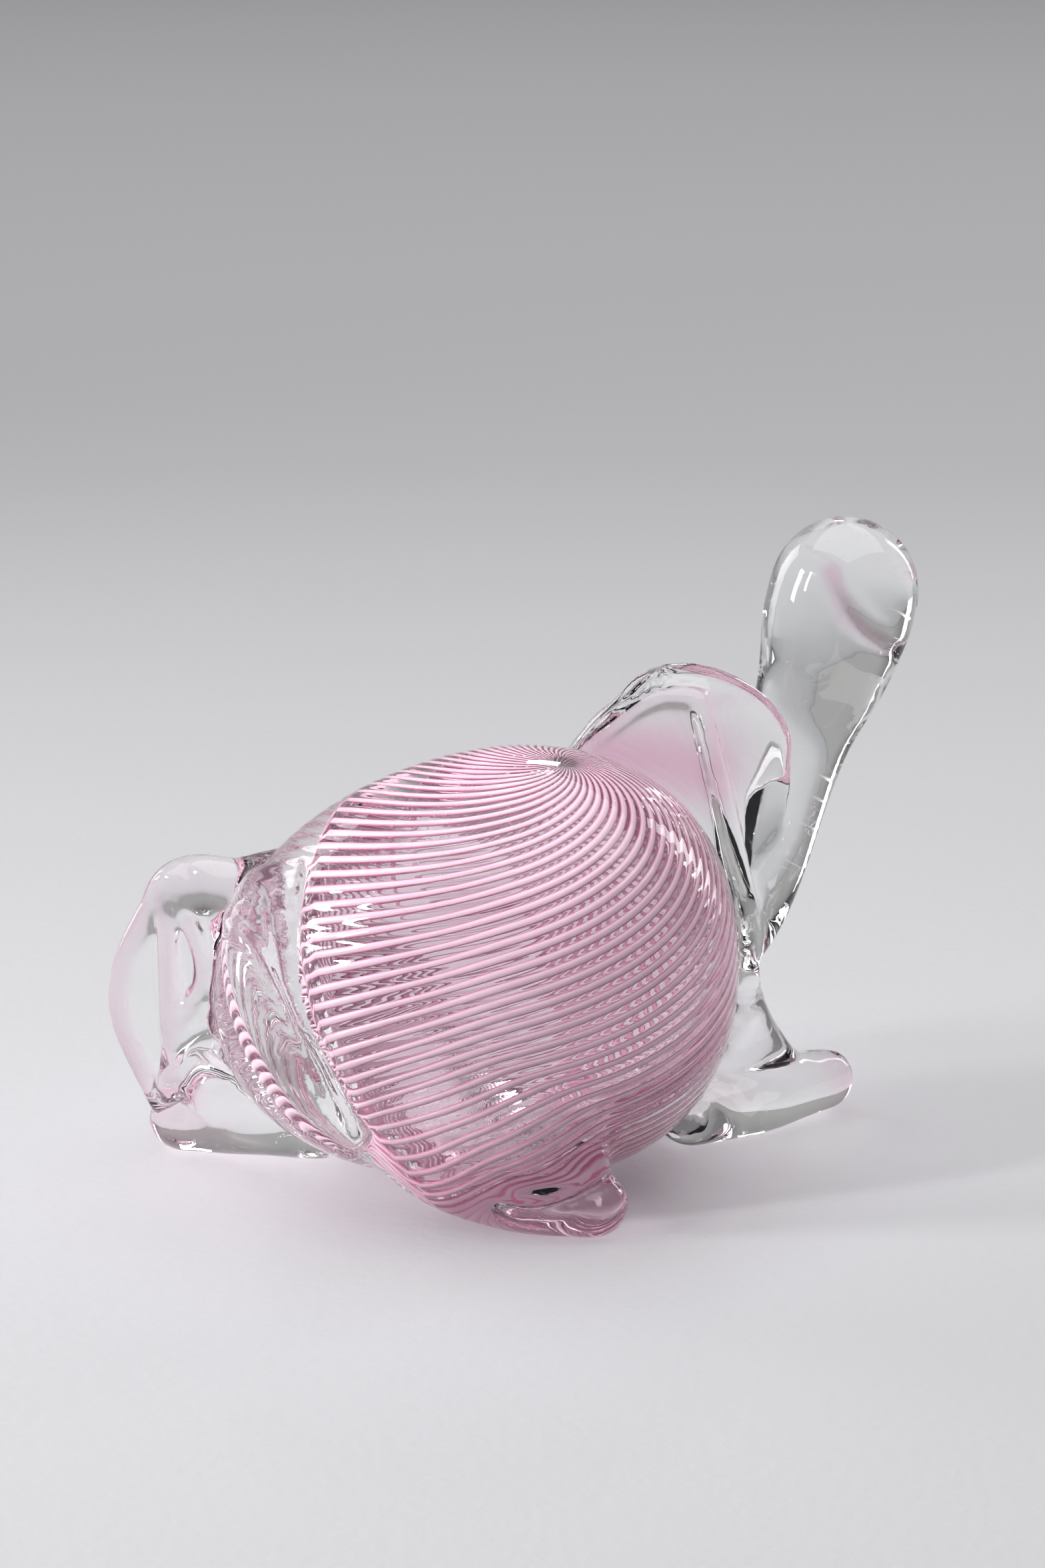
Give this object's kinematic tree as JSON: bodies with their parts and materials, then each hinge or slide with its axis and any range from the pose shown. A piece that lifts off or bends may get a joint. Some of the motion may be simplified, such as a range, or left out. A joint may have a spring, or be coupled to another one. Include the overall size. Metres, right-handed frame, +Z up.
{
  "type": "glass turtle figurine",
  "caption": "Hot-worked glass turtle with a blown shell holding a spiral of pink and white filigree canes, and clear neck, head, feet and pressed fins.",
  "frame": {"origin": "middle of the figure's box, on the table it stands on", "axes": "+X towards the head's side, +Y away from the side seen in the picture, +Z up"},
  "size_m": [0.147, 0.098, 0.1097],
  "materials": {
    "clear_glass": "clear, fire-polished",
    "casing_glass": "clear casing, fire-polished",
    "bubble_glass": "clear inner wall, fire-polished",
    "cane_glass": "opaque white and pink cane inside clear glass"
  },
  "bodies": {
    "root": {"seal_button": "clear_glass", "neck": "clear_glass", "head": "clear_glass", "collar_hood": "clear_glass", "near_foot": "clear_glass", "right_foot": "clear_glass", "left_foot": "clear_glass", "far_foot": "clear_glass", "tail_fin": "clear_glass", "side_leaf": "clear_glass", "clear_casing": "casing_glass", "inner_bubble": "bubble_glass", "cane_01": "cane_glass", "cane_02": "cane_glass", "cane_03": "cane_glass", "cane_04": "cane_glass", "cane_05": "cane_glass", "cane_06": "cane_glass", "cane_07": "cane_glass", "cane_08": "cane_glass", "cane_09": "cane_glass", "cane_10": "cane_glass", "cane_11": "cane_glass", "cane_12": "cane_glass", "cane_13": "cane_glass", "cane_14": "cane_glass", "cane_15": "cane_glass", "cane_16": "cane_glass", "cane_17": "cane_glass", "cane_18": "cane_glass", "cane_19": "cane_glass", "cane_20": "cane_glass", "cane_21": "cane_glass", "cane_22": "cane_glass", "cane_23": "cane_glass", "cane_24": "cane_glass", "cane_25": "cane_glass", "cane_26": "cane_glass", "cane_27": "cane_glass", "cane_28": "cane_glass", "cane_29": "cane_glass", "cane_30": "cane_glass", "cane_31": "cane_glass", "cane_32": "cane_glass", "cane_33": "cane_glass", "cane_34": "cane_glass", "cane_35": "cane_glass", "cane_36": "cane_glass", "cane_37": "cane_glass", "cane_38": "cane_glass", "cane_39": "cane_glass", "cane_40": "cane_glass", "cane_41": "cane_glass", "cane_42": "cane_glass", "cane_43": "cane_glass", "cane_44": "cane_glass", "cane_45": "cane_glass"}
  },
  "joints": []
}
